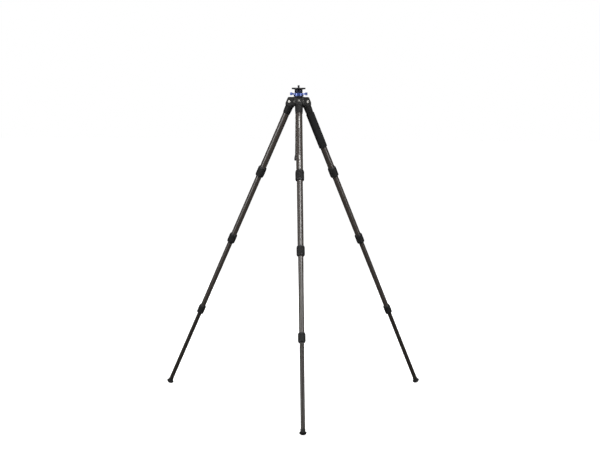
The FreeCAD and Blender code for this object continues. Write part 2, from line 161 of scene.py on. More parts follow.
class Sheet:
    """A material's node tree, and the one way that nodes are added to it."""

    def __init__(self, name: str) -> None:
        """Starts an empty node material.

        Args:
            name: The material's name.
        """
        self.material = bpy.data.materials.new(name)
        self.material.use_nodes = True
        self.tree = self.material.node_tree
        self.tree.nodes.clear()

    def node(self, kind: str, settings: Optional[dict] = None, sockets: Optional[dict] = None) -> Node:
        """Adds a node.

        Args:
            kind: The node's type, such as ShaderNodeTexNoise.
            settings: Its properties, set first.
            sockets: Values or links for its inputs, by name or index.

        Returns:
            The node.
        """
        node = self.tree.nodes.new(kind)
        for key, value in (settings or {}).items():
            setattr(node, key, value)
        for key, value in (sockets or {}).items():
            value = value.socket if isinstance(value, Signal) else value
            if isinstance(value, Socket):
                self.tree.links.new(value, node.inputs[key])
            else:
                node.inputs[key].default_value = value
        return node

    def maths(self, operation: str, *operands: Operand) -> Signal:
        """Adds a Math node for an expression and gives its result."""
        node = self.node("ShaderNodeMath", {"operation": operation}, dict(enumerate(operands)))
        return Signal(self, node.outputs[0])

    def place(self) -> Socket:
        """The point on the piece, in the row frame."""
        return self.node("ShaderNodeTexCoord").outputs["Object"]

    def edges(self, middle: float, gain: float) -> Signal:
        """How far a spot's pointiness is over a middle value, times a gain: above 0 along edges."""
        pointiness = self.node("ShaderNodeNewGeometry").outputs["Pointiness"]
        return (Signal(self, pointiness) - middle) * gain

    def wrap(self) -> tuple[Signal, Signal]:
        """(turns round the piece, metres along it) from its own UV map."""
        chart = self.node("ShaderNodeTexCoord").outputs["UV"]
        parts = self.node("ShaderNodeSeparateXYZ", None, {0: chart})
        return Signal(self, parts.outputs[0]), Signal(self, parts.outputs[1])

    def point(self, x: Operand, y: Operand, z: Operand = 0.0) -> Socket:
        """A vector from three values."""
        return self.node("ShaderNodeCombineXYZ", None, {0: x, 1: y, 2: z}).outputs[0]

    def noise(self, where: Socket, scale: float, detail: float, blur: float = 0.5) -> Signal:
        """Noise between about 0 and 1.

        Args:
            where: The coordinate that it follows.
            scale: Features per metre, or per unit of the coordinate.
            detail: Octaves.
            blur: Roughness of the octaves.

        Returns:
            The noise's value.
        """
        values = {"Vector": where, "Scale": scale, "Detail": detail, "Roughness": blur}
        return Signal(self, self.node("ShaderNodeTexNoise", None, values).outputs["Fac"])

    def cells(self, where: Socket, scale: float) -> Signal:
        """Distance to the nearest of many scattered points, as in a foam's skin."""
        values = {"Vector": where, "Scale": scale}
        return Signal(self, self.node("ShaderNodeTexVoronoi", None, values).outputs[0])

    def mix(self, share: Signal, under: Tint, over: Tint) -> Socket:
        """Mixes two colours.

        Args:
            share: How much of the second colour shows, from 0 to 1.
            under: The first colour.
            over: The second.

        Returns:
            The mixed colour.
        """
        ends = [(*tint, 1.0) if isinstance(tint, tuple) else tint for tint in (under, over)]
        node = self.node("ShaderNodeMix", {"data_type": "RGBA"}, {0: share, 6: ends[0], 7: ends[1]})
        return node.outputs[2]

    def bump(self, height: Signal, depth: float, strength: float) -> Socket:
        """A normal from a height between 0 and 1.

        Args:
            height: The height.
            depth: How far the height reaches, in metres.
            strength: How strongly it shows.

        Returns:
            The normal.
        """
        sockets = {"Height": height, "Distance": depth, "Strength": strength}
        return self.node("ShaderNodeBump", None, sockets).outputs["Normal"]

    def dress(self, sockets: dict) -> Material:
        """Ends the material in a Principled shader with these inputs."""
        shader = self.node("ShaderNodeBsdfPrincipled", None, sockets)
        self.node("ShaderNodeOutputMaterial", None, {0: shader.outputs[0]})
        return self.material


# --- Finishes ------------------------------------------------------------------------------------


@dataclass(frozen=True)
class PaleMark:
    """A plain pale bar printed on a tube, with no lettering.

    It reaches from low to high up the tube and half_turn to each side, in turns.
    """

    low: float
    high: float
    half_turn: float
    strength: float

    def lifted(self, rise: float) -> "PaleMark":
        """The same bar, higher up."""
        return replace(self, low=self.low + rise, high=self.high + rise)

    def mask(self, turns: Signal, along: Signal) -> Signal:
        """Where the bar is printed.

        Args:
            turns: Turns round the tube.
            along: Metres up the tube.

        Returns:
            1 on the bar, else 0.
        """
        across = ((turns + 0.5).fraction() - 0.5).absolute() < self.half_turn
        within = (along - (self.low + self.high) / 2).absolute() < (self.high - self.low) / 2
        return across * within


@dataclass(frozen=True)
class CarbonTwill:
    """Satin-lacquered carbon cloth wrapped round a tube, in a two-by-two twill."""

    name: str
    radius: float
    tow_width: float = 2.2 * MM
    trough: Colour = (0.0125, 0.0102, 0.0086)
    crest: Colour = (0.070, 0.056, 0.0465)
    print_colour: Colour = (0.62, 0.61, 0.59)
    lacquer: float = 1.0
    roughness: float = 0.27
    weave_depth: float = 0.06 * MM
    fibres_across: float = 9.0
    fibres_along: float = 0.8
    repeat: int = 4
    marks: tuple[PaleMark, ...] = ()

    def material(self) -> Material:
        """Builds the finish: tows that pass over and under one another under a clear coat.

        Returns:
            The material.
        """
        sheet = Sheet(self.name)
        turns, along = sheet.wrap()
        tows_round = self.repeat * round(math.tau * self.radius / self.tow_width / self.repeat)
        weft = turns * tows_round
        warp = along / self.tow_width
        over = ((weft.floor() + warp.floor()) % self.repeat) < self.repeat / 2
        crown = over * weft.fraction().arch() + (1.0 - over) * warp.fraction().arch()
        fine, coarse = self.fibres_across, self.fibres_along
        lengthwise = sheet.noise(sheet.point(weft * fine, warp * coarse), 1.0, 2.0)
        crosswise = sheet.noise(sheet.point(weft * coarse, warp * fine), 1.0, 2.0)
        fibres = over * lengthwise + (1.0 - over) * crosswise
        patches = sheet.noise(sheet.place(), 22.0, 2.0)
        tone = (crown * 0.36 + fibres * 0.4 + over * 0.14 + patches * 0.3 - 0.15).clamped()
        colour = sheet.mix(tone, self.trough, self.crest)
        for mark in self.marks:
            print_wear = sheet.noise(sheet.place(), 900.0, 2.0) * 0.3 + 0.8
            share = mark.mask(turns, along) * print_wear * mark.strength
            colour = sheet.mix(share, colour, self.print_colour)
        return sheet.dress({
            "Base Color": colour, "Roughness": self.roughness + fibres * 0.12 + patches * 0.08,
            "Specular IOR Level": 0.55 * self.lacquer,
            "Coat Weight": 0.5 * self.lacquer, "Coat Roughness": 0.2,
            "Normal": sheet.bump(crown * 0.8 + fibres * 0.25, self.weave_depth, 0.35),
        })


@dataclass(frozen=True)
class Noise:
    """How a noise is made: features per metre, octaves, and how rough the octaves are."""

    scale: float
    detail: float
    blur: float = 0.5


@dataclass(frozen=True)
class Finish:
    """A finish of a fine grain and a broad one, which share its colour, its gloss and its relief.

    Tone and gloss hold how much the fine and the broad grain count, and tone ends with what is added.
    Relief is a depth in metres and a strength.
    """

    name: str
    colour: Colour
    light: Colour
    roughness: float
    metallic: float = 0.0
    fine: Noise = Noise(2400.0, 2.0)
    broad: Noise = Noise(140.0, 4.0)
    tone: tuple[float, float, float] = (0.2, 0.8, 0.0)
    gloss: tuple[float, float] = (0.16, 0.0)
    relief: tuple[float, float] = (0.05 * MM, 0.5)
    edge_gain: float = 0.0
    edge_share: float = 0.6
    specular: float = 0.5
    coat: tuple[float, float] = (0.0, 0.03)

    def grain(self, sheet: Sheet) -> Signal:
        """The fine grain."""
        return sheet.noise(sheet.place(), self.fine.scale, self.fine.detail, self.fine.blur)

    def shade(self, sheet: Sheet, fine: Signal, broad: Signal) -> Socket:
        """Mixes the colour.

        Args:
            sheet: The material's sheet.
            fine: The fine grain.
            broad: The broad grain.

        Returns:
            The colour.
        """
        share = fine * self.tone[0] + broad * self.tone[1] + self.tone[2]
        if self.edge_gain:
            share = share + sheet.edges(0.51, self.edge_gain).clamped() * self.edge_share
        return sheet.mix(share.clamped(), self.colour, self.light)

    def material(self) -> Material:
        """Builds the finish.

        Returns:
            The material.
        """
        sheet = Sheet(self.name)
        fine = self.grain(sheet)
        broad = sheet.noise(sheet.place(), self.broad.scale, self.broad.detail, self.broad.blur)
        return sheet.dress({
            "Base Color": self.shade(sheet, fine, broad), "Metallic": self.metallic,
            "Specular IOR Level": self.specular,
            "Coat Weight": self.coat[0], "Coat Roughness": self.coat[1],
            "Roughness": self.roughness + (fine - 0.5) * self.gloss[0] + (broad - 0.5) * self.gloss[1],
            "Normal": sheet.bump(fine, *self.relief),
        })


@dataclass(frozen=True)
class Nylon(Finish):
    """Plain moulded nylon with faint flow marks."""

    roughness: float = 0.5


@dataclass(frozen=True)
class CastPaint(Finish):
    """Semi-matte black paint over a cast alloy: orange peel and mottling, and rubbed edges."""

    colour: Colour = (0.0095, 0.0093, 0.0092)
    light: Colour = (0.014725, 0.014415, 0.01426)
    rubbed: Colour = (0.032, 0.031, 0.030)
    roughness: float = 0.56
    fine: Noise = Noise(2600.0, 3.0, 0.6)
    broad: Noise = Noise(90.0, 4.0)
    tone: tuple[float, float, float] = (0.3, 0.7, 0.0)
    gloss: tuple[float, float] = (0.18, 0.16)
    relief: tuple[float, float] = (0.09 * MM, 0.6)
    specular: float = 0.17

    def shade(self, sheet: Sheet, fine: Signal, broad: Signal) -> Socket:
        """Mixes the paint, and then the colour of its rubbed edges.

        Args:
            sheet: The material's sheet.
            fine: The fine grain.
            broad: The broad grain.

        Returns:
            The colour.
        """
        worn = (sheet.edges(0.505, 18.0) + (broad - 0.5) * 0.7).clamped() * 0.55
        return sheet.mix(worn, super().shade(sheet, fine, broad), self.rubbed)


@dataclass(frozen=True)
class Anodised(Finish):
    """Turned alloy with a dyed oxide coat: fine rings from the lathe under a deep colour."""

    broad: Noise = Noise(70.0, 3.0)
    tone: tuple[float, float, float] = (0.5, 0.6, -0.1)
    gloss: tuple[float, float] = (0.16, 0.08)
    relief: tuple[float, float] = (0.02 * MM, 0.45)
    rings_per_metre: float = 5200.0

    def grain(self, sheet: Sheet) -> Signal:
        """Rings that follow the piece's own wrap."""
        turns, along = sheet.wrap()
        return sheet.noise(sheet.point(turns * 1.5, along * self.rings_per_metre), 1.0, 2.0)


@dataclass(frozen=True)
class DyedCasting(Finish):
    """Bead-blasted and dyed alloy under a clear coat, lighter along its edges."""

    fine: Noise = Noise(5200.0, 2.0)
    broad: Noise = Noise(110.0, 3.0)
    tone: tuple[float, float, float] = (0.0, 0.8, 0.0)
    gloss: tuple[float, float] = (0.14, 0.0)
    relief: tuple[float, float] = (0.03 * MM, 0.5)
    edge_gain: float = 12.0
    coat: tuple[float, float] = (0.9, 0.16)


@dataclass(frozen=True)
class MouldedRubber(Finish):
    """Moulded black rubber with a spark-eroded texture and a little dust."""

    colour: Colour = (0.0085, 0.0085, 0.0085)
    light: Colour = (0.026, 0.025, 0.024)
    roughness: float = 0.66
    fine: Noise = Noise(1900.0, 3.0, 0.65)
    broad: Noise = Noise(60.0, 5.0, 0.6)
    tone: tuple[float, float, float] = (0.8, 2.2, -1.324)
    gloss: tuple[float, float] = (0.2, 0.12)
    relief: tuple[float, float] = (0.12 * MM, 0.7)
    specular: float = 0.26


@dataclass(frozen=True)
class FoamSkin(Finish):
    """Closed-cell foam: pits of two sizes, a matte surface and a slight bloom where hands rub it."""

    colour: Colour = (0.006, 0.006, 0.006)
    light: Colour = (0.021, 0.021, 0.021)
    roughness: float = 0.84
    broad: Noise = Noise(180.0, 4.0)
    tone: tuple[float, float, float] = (0.5, 0.6, -0.15)
    gloss: tuple[float, float] = (0.0, 0.14)
    relief: tuple[float, float] = (0.3 * MM, 0.75)
    specular: float = 0.2
    pits_per_metre: float = 1300.0
    large_pits: float = 0.45

    def grain(self, sheet: Sheet) -> Signal:
        """The height of the pitted skin.

        Args:
            sheet: The material's sheet.

        Returns:
            A height between 0 and 1.
        """
        place = sheet.place()
        small = sheet.cells(place, self.pits_per_metre)
        large = sheet.cells(place, self.pits_per_metre * self.large_pits)
        soft = sheet.noise(place, self.broad.scale, self.broad.detail)
        return (small * 0.6 + large * 0.5 + soft * 0.4).clamped()


@dataclass(frozen=True)
class MachinedSteel(Finish):
    """Bright or blackened steel with fine tool marks and faint smears."""

    fine: Noise = Noise(900.0, 3.0)
    broad: Noise = Noise(160.0, 4.0)
    tone: tuple[float, float, float] = (0.6, 0.4, 0.0)
    gloss: tuple[float, float] = (0.16, 0.2)
    relief: tuple[float, float] = (0.02 * MM, 0.5)
    stretch: tuple[float, float, float] = (1.0, 1.0, 9.0)

    def grain(self, sheet: Sheet) -> Signal:
        """Tool marks, drawn out by a stretch of the noise."""
        values = {"Vector": sheet.place(), "Scale": self.stretch}
        stretched = sheet.node("ShaderNodeMapping", None, values).outputs[0]
        return sheet.noise(stretched, self.fine.scale, self.fine.detail)


@dataclass(frozen=True)
class StudioFloor:
    """A plain pale floor of painted board."""

    name: str = "studio_floor"
    colour: Colour = (0.93, 0.93, 0.93)
    glow: float = 0.75

    def material(self) -> Material:
        """Builds the finish with only a trace of unevenness.

        Returns:
            The material.
        """
        sheet = Sheet(self.name)
        uneven = sheet.noise(sheet.place(), 3.0, 2.0)
        colour = sheet.mix(uneven, self.colour, tuple(c * 0.985 for c in self.colour))
        return sheet.dress({
            "Base Color": colour, "Roughness": 0.9 - uneven * 0.05, "Specular IOR Level": 0.1,
            "Emission Color": colour, "Emission Strength": self.glow,
        })


# --- Modelling -----------------------------------------------------------------------------------


def arc(centre: tuple[float, float], radius: float, start: float, end: float, steps: int) -> Outline:
    """Points of an arc in a turned outline.

    Args:
        centre: (radius, height) of the arc's centre.
        radius: The arc's own radius.
        start: Its first angle, in degrees from straight out.
        end: Its last angle.
        steps: How many stretches it is cut into.

    Returns:
        The points, ends included.
    """
    angles = [math.radians(start + (end - start) * k / steps) for k in range(steps + 1)]
    return [(centre[0] + radius * math.cos(a), centre[1] + radius * math.sin(a)) for a in angles]


class Bench:
    """Modelling steps, done as by hand with Blender's own operators."""

    @staticmethod
    def clear() -> None:
        """Deselects everything, in object mode."""
        if bpy.context.mode != "OBJECT":
            bpy.ops.object.mode_set(mode="OBJECT")
        bpy.ops.object.select_all(action="DESELECT")

    @staticmethod
    def take(piece: Object) -> None:
        """Makes a piece the only one selected and the active one."""
        Bench.clear()
        piece.select_set(True)
        bpy.context.view_layer.objects.active = piece

    @staticmethod
    def settle(piece: Object) -> None:
        """Puts a piece's place into its mesh, so that its object is at the origin."""
        Bench.take(piece)
        bpy.ops.object.transform_apply(location=True, rotation=True, scale=True)

    @staticmethod
    def mend(piece: Object, reach: float = 1e-6) -> None:
        """Merges doubles and turns the faces outwards.

        Args:
            piece: The piece.
            reach: How near two corners are to be merged.
        """
        Bench.take(piece)
        bpy.ops.object.mode_set(mode="EDIT")
        bpy.ops.mesh.select_all(action="SELECT")
        bpy.ops.mesh.remove_doubles(threshold=reach)
        bpy.ops.mesh.normals_make_consistent(inside=False)
        bpy.ops.object.mode_set(mode="OBJECT")

    @staticmethod
    def turn(name: str, outline: Outline, sides: int, ends: Ends) -> Object:
        """Turns an outline round Z, ring by ring, as on a lathe.

        Args:
            name: The piece's name.
            outline: (radius, height) points in order, going round the section of a hollow piece.
            sides: How many sides each ring has.
            ends: Solid closes both ends flat; hollow joins the last ring to the first.

        Returns:
            The piece, with its wrap as UV.
        """
        Bench.clear()
        radius, height = outline[0]
        fill = "NGON" if ends is Ends.SOLID else "NOTHING"
        bpy.ops.mesh.primitive_circle_add(
            vertices=sides, radius=radius, fill_type=fill, location=(0, 0, height))
        piece = bpy.context.active_object
        piece.name = piece.data.name = name
        bpy.ops.object.transform_apply(location=True, rotation=True, scale=True)
        bpy.ops.object.mode_set(mode="EDIT")
        bpy.ops.mesh.select_all(action="SELECT")
        rings = outline[1:] + (outline[:1] if ends is Ends.HOLLOW else [])
        for next_radius, next_height in rings:
            if ends is Ends.SOLID:
                bpy.ops.mesh.extrude_region_move()
            else:
                bpy.ops.mesh.extrude_edges_move()
            bpy.ops.transform.translate(value=(0, 0, next_height - height))
            share = next_radius / radius
            bpy.ops.transform.resize(value=(share, share, 1), center_override=(0, 0, next_height))
            radius, height = next_radius, next_height
        bpy.ops.object.mode_set(mode="OBJECT")
        Bench.mend(piece)
        Bench.wrap(piece)
        return piece

    @staticmethod
    def wrap(piece: Object) -> None:
        """Gives a piece a UV map of (turns round Z, metres along it plus half those out from it).

        Args:
            piece: The piece, upright on the axis of its own space.
        """
        mesh = bmesh.new()
        mesh.from_mesh(piece.data)
        layer = mesh.loops.layers.uv.verify()
        for face in mesh.faces:
            first: Optional[float] = None
            for loop in face.loops:
                spot = loop.vert.co
                turn = math.atan2(spot.y, spot.x) / math.tau
                if first is None:
                    first = turn
                turn += round(first - turn)
                loop[layer].uv = (turn, spot.z + ACROSS * math.hypot(spot.x, spot.y))
        mesh.to_mesh(piece.data)
        mesh.free()

    @staticmethod
    def select(piece: Object, wanted: Callable[[Vector], bool]) -> None:
        """Enters edit mode with only some faces selected.

        Args:
            piece: The piece.
            wanted: Says whether a face is wanted, by its middle.
        """
        Bench.take(piece)
        bpy.ops.object.mode_set(mode="EDIT")
        bpy.ops.mesh.select_mode(type="FACE")
        bpy.ops.mesh.select_all(action="DESELECT")
        mesh = bmesh.from_edit_mesh(piece.data)
        for face in mesh.faces:
            if wanted(face.calc_center_median()):
                face.select_set(True)
        bmesh.update_edit_mesh(piece.data)

    @staticmethod
    def soften(piece: Object, width: float, segments: int = 3, angle: float = 28.0) -> None:
        """Rounds a piece's sharp edges with a bevel.

        Args:
            piece: The piece.
            width: How far the rounding reaches from an edge.
            segments: How many faces it is cut into.
            angle: The least angle of an edge that is rounded, in degrees.
        """
        Bench.take(piece)
        bpy.ops.object.modifier_add(type="BEVEL")
        bevel = piece.modifiers[-1]
        bevel.width = width
        bevel.segments = segments
        bevel.limit_method = "ANGLE"
        bevel.angle_limit = math.radians(angle)
        bpy.ops.object.modifier_apply(modifier=bevel.name)

    @staticmethod
    def smooth(piece: Object, angle: float = 35.0) -> None:
        """Shades a piece smooth, apart from edges sharper than an angle."""
        Bench.take(piece)
        bpy.ops.object.shade_smooth_by_angle(angle=math.radians(angle))

    @staticmethod
    def copy_of(node: str, name: str) -> Object:
        """A merged copy of a CAD node's mesh, with its flat faces whole again.

        Args:
            node: The CAD node.
            name: The copy's name.

        Returns:
            The copy, at the node's place.
        """
        piece = bpy.data.objects.new(name, frame["nodes"][node].data.copy())
        piece.data.name = name
        piece.data.materials.clear()
        bpy.context.scene.collection.objects.link(piece)
        Bench.take(piece)
        bpy.ops.object.mode_set(mode="EDIT")
        bpy.ops.mesh.select_all(action="SELECT")
        bpy.ops.mesh.remove_doubles(threshold=2e-6)
        bpy.ops.mesh.customdata_custom_splitnormals_clear()
        bpy.ops.mesh.dissolve_limited(angle_limit=math.radians(1.0))
        bpy.ops.object.mode_set(mode="OBJECT")
        return piece

    @staticmethod
    def joined(pieces: Sequence[Object], name: str) -> Object:
        """Joins several meshes.

        Args:
            pieces: What is joined.
            name: The name of the whole.

        Returns:
            The whole.
        """
        Bench.clear()
        for piece in pieces:
            piece.select_set(True)
        bpy.context.view_layer.objects.active = pieces[0]
        bpy.ops.object.join()
        whole = bpy.context.active_object
        whole.name = whole.data.name = name
        return whole

    @staticmethod
    def carried(piece: Object, name: str, matrix: Matrix) -> Object:
        """A copy of a piece with its own mesh, carried into the row frame.

        Args:
            piece: The pattern.
            name: The copy's name.
            matrix: What takes the pattern's space to the row frame.

        Returns:
            The copy.
        """
        twin = bpy.data.objects.new(name, piece.data.copy())
        twin.data.name = name
        twin.data.transform(matrix)
        bpy.context.scene.collection.objects.link(twin)
        return twin

    @staticmethod
    def scrap(piece: Object) -> None:
        """Removes a pattern piece once its copies are made."""
        bpy.data.objects.remove(piece, do_unlink=True)


def fit_on(piece: Object, node: str, body: str, finish: Material) -> None:
    """Dresses a finished piece, hides the CAD node that it stands for and lets it ride.

    Args:
        piece: The piece, in the row frame.
        node: The CAD node that it replaces.
        body: The CAD body that it moves with.
        finish: Its material.
    """
    piece.data.materials.clear()
    piece.data.materials.append(finish)
    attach(piece, body)
    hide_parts(node)
    LOG.info("%s: %d faces on %s", piece.name, len(piece.data.polygons), body)


def repaint(node: str, finish: Material) -> None:
    """Gives a CAD node that stays in view a better material.

    Args:
        node: The CAD node.
        finish: Its material.
    """
    target = frame["nodes"][node]
    target.data.materials.clear()
    target.data.materials.append(finish)
    LOG.info("%s: repainted", node)


@dataclass(frozen=True)
class RoundedCopy:
    """A CAD piece that keeps its shape, with its edges rounded and a finish of its own."""

    node: str
    name: str
    body: str
    slot: str
    edge: float = 0.0
    welded: bool = True
    wrapped: bool = False
    angle: float = 38.0

    def build(self, finish: Material, prefix: str = "") -> None:
        """Copies, rounds and fits the piece.

        Args:
            finish: Its finish.
            prefix: The start of its names, for a leg's piece.
        """
        piece = Bench.copy_of(prefix + self.node, prefix + self.name)
        if self.edge:
            Bench.soften(piece, self.edge)
        if self.welded:
            Bench.mend(piece, 5e-6)
        if self.wrapped:
            Bench.wrap(piece)
        Bench.smooth(piece, self.angle)
        fit_on(piece, prefix + self.node, prefix + self.body, finish)


# --- Where things are ----------------------------------------------------------------------------


@dataclass(frozen=True)
class Span:
    """The room that a turned node takes about an axis."""

    low: float
    high: float
    outer: float
    inner: float

    @property
    def middle(self) -> float:
        """Half way along."""
        return (self.high + self.low) / 2


def span_of(node: str, into: Matrix = Matrix.Identity(4)) -> Span:
    """Measures a CAD node about Z, or about the Z of another space.

    Args:
        node: The CAD node.
        into: What takes the row frame to that space.

    Returns:
        Its room there.
    """
    points = [into @ vertex.co for vertex in frame["nodes"][node].data.vertices]
    radii = [math.hypot(point.x, point.y) for point in points]
    heights = [point.z for point in points]
    return Span(min(heights), max(heights), max(radii), min(radii))


class LegSpace:
    """One leg's place, read from its joints."""

    def __init__(self, name: LegName) -> None:
        """Works out the leg's space from its fold and the axis of its first lock.

        Args:
            name: The leg.
        """
        joints = {joint["name"]: joint for joint in frame["joints"]}
        fold = joints[f"{name.value}_leg_fold"]
        self.name = name.value
        self.hinge = Vector(fold["pos_m"])
        up = -Vector(joints[f"{name.value}_twist_lock_1"]["axis"]).normalized()
        across = -Vector(fold["axis"]).normalized()
        out = across.cross(up).normalized()
        turned = Matrix((out, across, up)).transposed().to_4x4()
        self.matrix = Matrix.Translation(self.hinge) @ turned
        self.inverse = self.matrix.inverted()

    def node(self, piece: str) -> str:
        """The name of one of this leg's nodes."""
        return f"{self.name}_{piece}"

    def span(self, piece: str) -> Span:
        """The room that one of this leg's nodes takes in leg space."""
        return span_of(self.node(piece), self.inverse)


# --- The legs ------------------------------------------------------------------------------------


@dataclass
class CarbonTubes:
    """The four tubes of each leg."""

    edge: float = 0.25 * MM
    sides: int = 72
    # Per tube, counted from the top: painted shade that darkens the weave's colour lower down, and the
    # share of lacquer that is kept, which dulls the lower tubes.
    painted_shade_and_lacquer: tuple[float, ...] = (1.0, 1.0, 0.9, 0.5)
    marks: tuple[PaleMark, ...] = (
        PaleMark(-0.133, -0.078, 0.019, 0.82),
        PaleMark(-0.284, -0.265, 0.034, 0.62),
        PaleMark(-0.312, -0.291, 0.042, 0.36),
        PaleMark(-0.326, -0.318, 0.042, 0.30),
    )

    def finish(self, number: int, radius: float) -> Material:
        """The carbon of one row of tubes: painted shade darkens its weave further down, and a thinner
        lacquer makes it duller there.

        Args:
            number: The tubes' number, counted from the top.
            radius: Their outer radius.

        Returns:
            The material.
        """
        painted_shade_and_lacquer = self.painted_shade_and_lacquer[number - 1]
        # Painted shade: the lower tubes' crest colour is darkened by this share, standing in for light that
        # falls off towards the floor.
        crest = tuple(part * painted_shade_and_lacquer for part in CarbonTwill.crest)
        return CarbonTwill(f"carbon_{number}", radius, crest=crest, lacquer=painted_shade_and_lacquer).material()

    def marked(self, radius: float) -> Material:
        """The carbon of the front leg's top tube, with its pale bars."""
        marks = tuple(mark.lifted(ACROSS * radius) for mark in self.marks)
        return CarbonTwill("carbon_marked", radius, marks=marks).material()

    def build(self, legs: Sequence[LegSpace]) -> None:
        """Models each tube once, in leg space, and carries it to the three legs.

        Args:
            legs: The three legs.
        """
        for number in range(1, 5):
            span = legs[0].span(f"tube_{number}")
            low, high, outer = span.low, span.high, span.outer
            outline = [
                (span.inner, low), (outer - self.edge, low), (outer, low + self.edge),
                (outer, high - self.edge), (outer - self.edge, high), (span.inner, high),
            ]
            pattern = Bench.turn("tube_pattern", outline, self.sides, Ends.HOLLOW)
            Bench.smooth(pattern)
            plain = self.finish(number, outer)
            for leg in legs:
                top = number == 1
                marked = top and leg.name == LegName.FRONT.value
                piece = Bench.carried(pattern, leg.node(f"carbon_tube_{number}"), leg.matrix)
                fit_on(piece, leg.node(f"tube_{number}"), leg.node("leg" if top else f"section_{number}"),
                       self.marked(outer) if marked else plain)
            Bench.scrap(pattern)


@dataclass
class TwistLocks:
    """The three twist locks of each leg: a turned ring with lips and a ribbed rubber grip."""

    rib_pitch: float = 5.0 * MM
    rib_depth: float = 0.55 * MM
    rib_slope: float = 0.45 * MM
    sides_per_rib: int = 4
    flute_sides: tuple[int, ...] = (1, 2)
    ring_sides: int = 96
    lip_width: float = 3.0 * MM
    lip_drop: float = 4.6 * MM
    step_drop: float = 8.4 * MM
    bore_gap: float = 0.3 * MM
    grip_round: float = 1.4 * MM
    grip_margin: float = 3.4 * MM

    def ring(self, span: Span, grip: Span, upper_bore: float) -> Object:
        """The lock's ring, with rounded lips at both ends and a bore stepped for the two tubes.

        Args:
            span: The ring's room.
            grip: The room of the grip that sits in its waist.
            upper_bore: Radius of the bore for the upper tube.

        Returns:
            The ring, in leg space.
        """
        step = span.middle - self.step_drop
        corner = span.outer - self.lip_width
        lip = [(corner + self.lip_width * x, self.lip_drop * y) for x, y in arc((0.0, 0.0), 1.0, 90, 0, 8)]
        outline: Outline = [(upper_bore, span.high)]
        outline += [(radius, span.high - self.lip_drop + rise) for radius, rise in lip]
        outline += [(span.outer, grip.high), (grip.inner, grip.high)]
        outline += [(grip.inner, grip.low), (span.outer, grip.low)]
        outline += [(radius, span.low + self.lip_drop - rise) for radius, rise in reversed(lip)]
        outline += [(span.inner, span.low), (span.inner, step), (upper_bore, step)]
        piece = Bench.turn("ring_pattern", outline, self.ring_sides, Ends.HOLLOW)
        Bench.smooth(piece)
        return piece

    def grip(self, span: Span) -> Object:
        """The rubber grip, with its ribs left standing between sunk flutes.

        Args:
            span: The grip's room.

        Returns:
            The grip, in leg space.
        """
        outer = span.outer
        sides = self.sides_per_rib * round(math.tau * outer / self.rib_pitch)
        corner = outer - self.grip_round
        band_high = span.high - self.grip_margin
        band_low = span.low + self.grip_margin
        outline: Outline = [(span.inner, span.high)]
        outline += arc((corner, span.high - self.grip_round), self.grip_round, 90, 0, 4)
        outline += [(outer, band_high), (outer, band_low)]
        outline += arc((corner, span.low + self.grip_round), self.grip_round, 0, -90, 4)
        outline += [(span.inner, span.low)]
        piece = Bench.turn("grip_pattern", outline, sides, Ends.HOLLOW)

        def in_flute(spot: Vector) -> bool:
            """Whether a face's middle is in the band and on one of a flute's sides."""
            side = math.floor(math.atan2(spot.y, spot.x) / math.tau * sides) % self.sides_per_rib
            in_band = band_low < spot.z < band_high and math.hypot(spot.x, spot.y) > corner
            return in_band and side in self.flute_sides

        Bench.select(piece, in_flute)
        bpy.ops.mesh.inset(thickness=self.rib_slope, depth=-self.rib_depth, use_individual=False)
        bpy.ops.object.mode_set(mode="OBJECT")
        Bench.wrap(piece)
        Bench.smooth(piece, 50.0)
        return piece

    def build(self, legs: Sequence[LegSpace], alloy: Material, rubber: Material) -> None:
        """Models each lock once, in leg space, and carries it to the three legs.

        Args:
            legs: The three legs.
            alloy: The rings' finish.
            rubber: The grips' finish.
        """
        for number in range(1, 4):
            above = legs[0].span(f"tube_{number}")
            grip_span = legs[0].span(f"lock_grip_{number}")
            ring = self.ring(legs[0].span(f"lock_ring_{number}"), grip_span, above.outer + self.bore_gap)
            grip = self.grip(grip_span)
            for leg in legs:
                body = leg.node(f"lock_{number}")
                piece = Bench.carried(ring, leg.node(f"turned_lock_ring_{number}"), leg.matrix)
                fit_on(piece, leg.node(f"lock_ring_{number}"), body, alloy)
                piece = Bench.carried(grip, leg.node(f"ribbed_grip_{number}"), leg.matrix)
                fit_on(piece, leg.node(f"lock_grip_{number}"), body, rubber)
            Bench.scrap(ring)
            Bench.scrap(grip)


